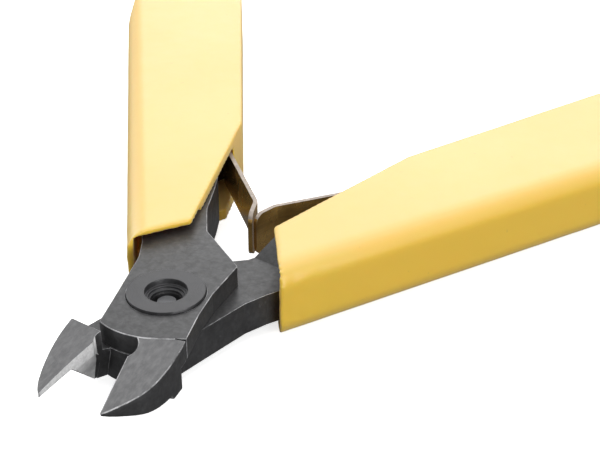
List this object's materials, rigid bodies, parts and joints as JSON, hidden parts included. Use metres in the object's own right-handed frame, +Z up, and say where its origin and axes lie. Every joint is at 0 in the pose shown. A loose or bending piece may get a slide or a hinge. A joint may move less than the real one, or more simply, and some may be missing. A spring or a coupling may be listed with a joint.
{
  "type": "flush cut pliers",
  "caption": "Small hand cutters: two steel halves lapped on a pivot nut, ground flush jaws, yellow plastic sleeves and a pair of leaf springs that push the handles apart.",
  "frame": {"origin": "centre of the part's box on the surface it lies on, at the level of the undersides of the sleeves", "axes": "+Z up, out of the upper face of the head; -Y from the handles towards the jaw tips; +X towards the right handle; the pivot turns about +Z"},
  "size_m": [0.102, 0.1002, 0.0088],
  "materials": {
    "steel": "dark matte ground tool steel with bright ground edges",
    "nut_steel": "fine turned steel",
    "screw_steel": "turned steel",
    "grip_plastic": "soft satin moulded plastic, warm yellow",
    "spring_steel": "dark tempered spring strip with bright sheared edges",
    "pin_steel": "plain drawn steel"
  },
  "bodies": {
    "upper_cutter": {"upper_half": "steel", "pivot_nut": "nut_steel", "pivot_screw": "screw_steel", "left_grip": "grip_plastic", "left_spring_pin": "pin_steel"},
    "lower_cutter": {"lower_half": "steel", "right_grip": "grip_plastic", "right_spring_pin": "pin_steel"},
    "left_leaf": {"left_leaf_spring": "spring_steel"},
    "right_leaf": {"right_leaf_spring": "spring_steel"}
  },
  "joints": [
    {"name": "pivot", "type": "hinge", "parent": "upper_cutter", "child": "lower_cutter", "pos_m": [0, -0.03334, 0.0044], "axis": [0, 0, 1], "range_deg": [0, 22.4], "stiffness_Nm_per_rad": 1, "springref_deg": -11.46},
    {"name": "left_leaf_rock", "type": "hinge", "parent": "upper_cutter", "child": "left_leaf", "pos_m": [-0.01405, 0.002, 0.0044], "axis": [0, 0, 1], "range_deg": [-11.4, 0]},
    {"name": "right_leaf_rock", "type": "hinge", "parent": "lower_cutter", "child": "right_leaf", "pos_m": [0.01405, 0.002, 0.0044], "axis": [0, 0, 1], "range_deg": [0, 11.4]}
  ],
  "couplings": [
    {"joint": "left_leaf_rock", "follows": "pivot", "ratio": -0.505},
    {"joint": "right_leaf_rock", "follows": "pivot", "ratio": 0.505}
  ]
}
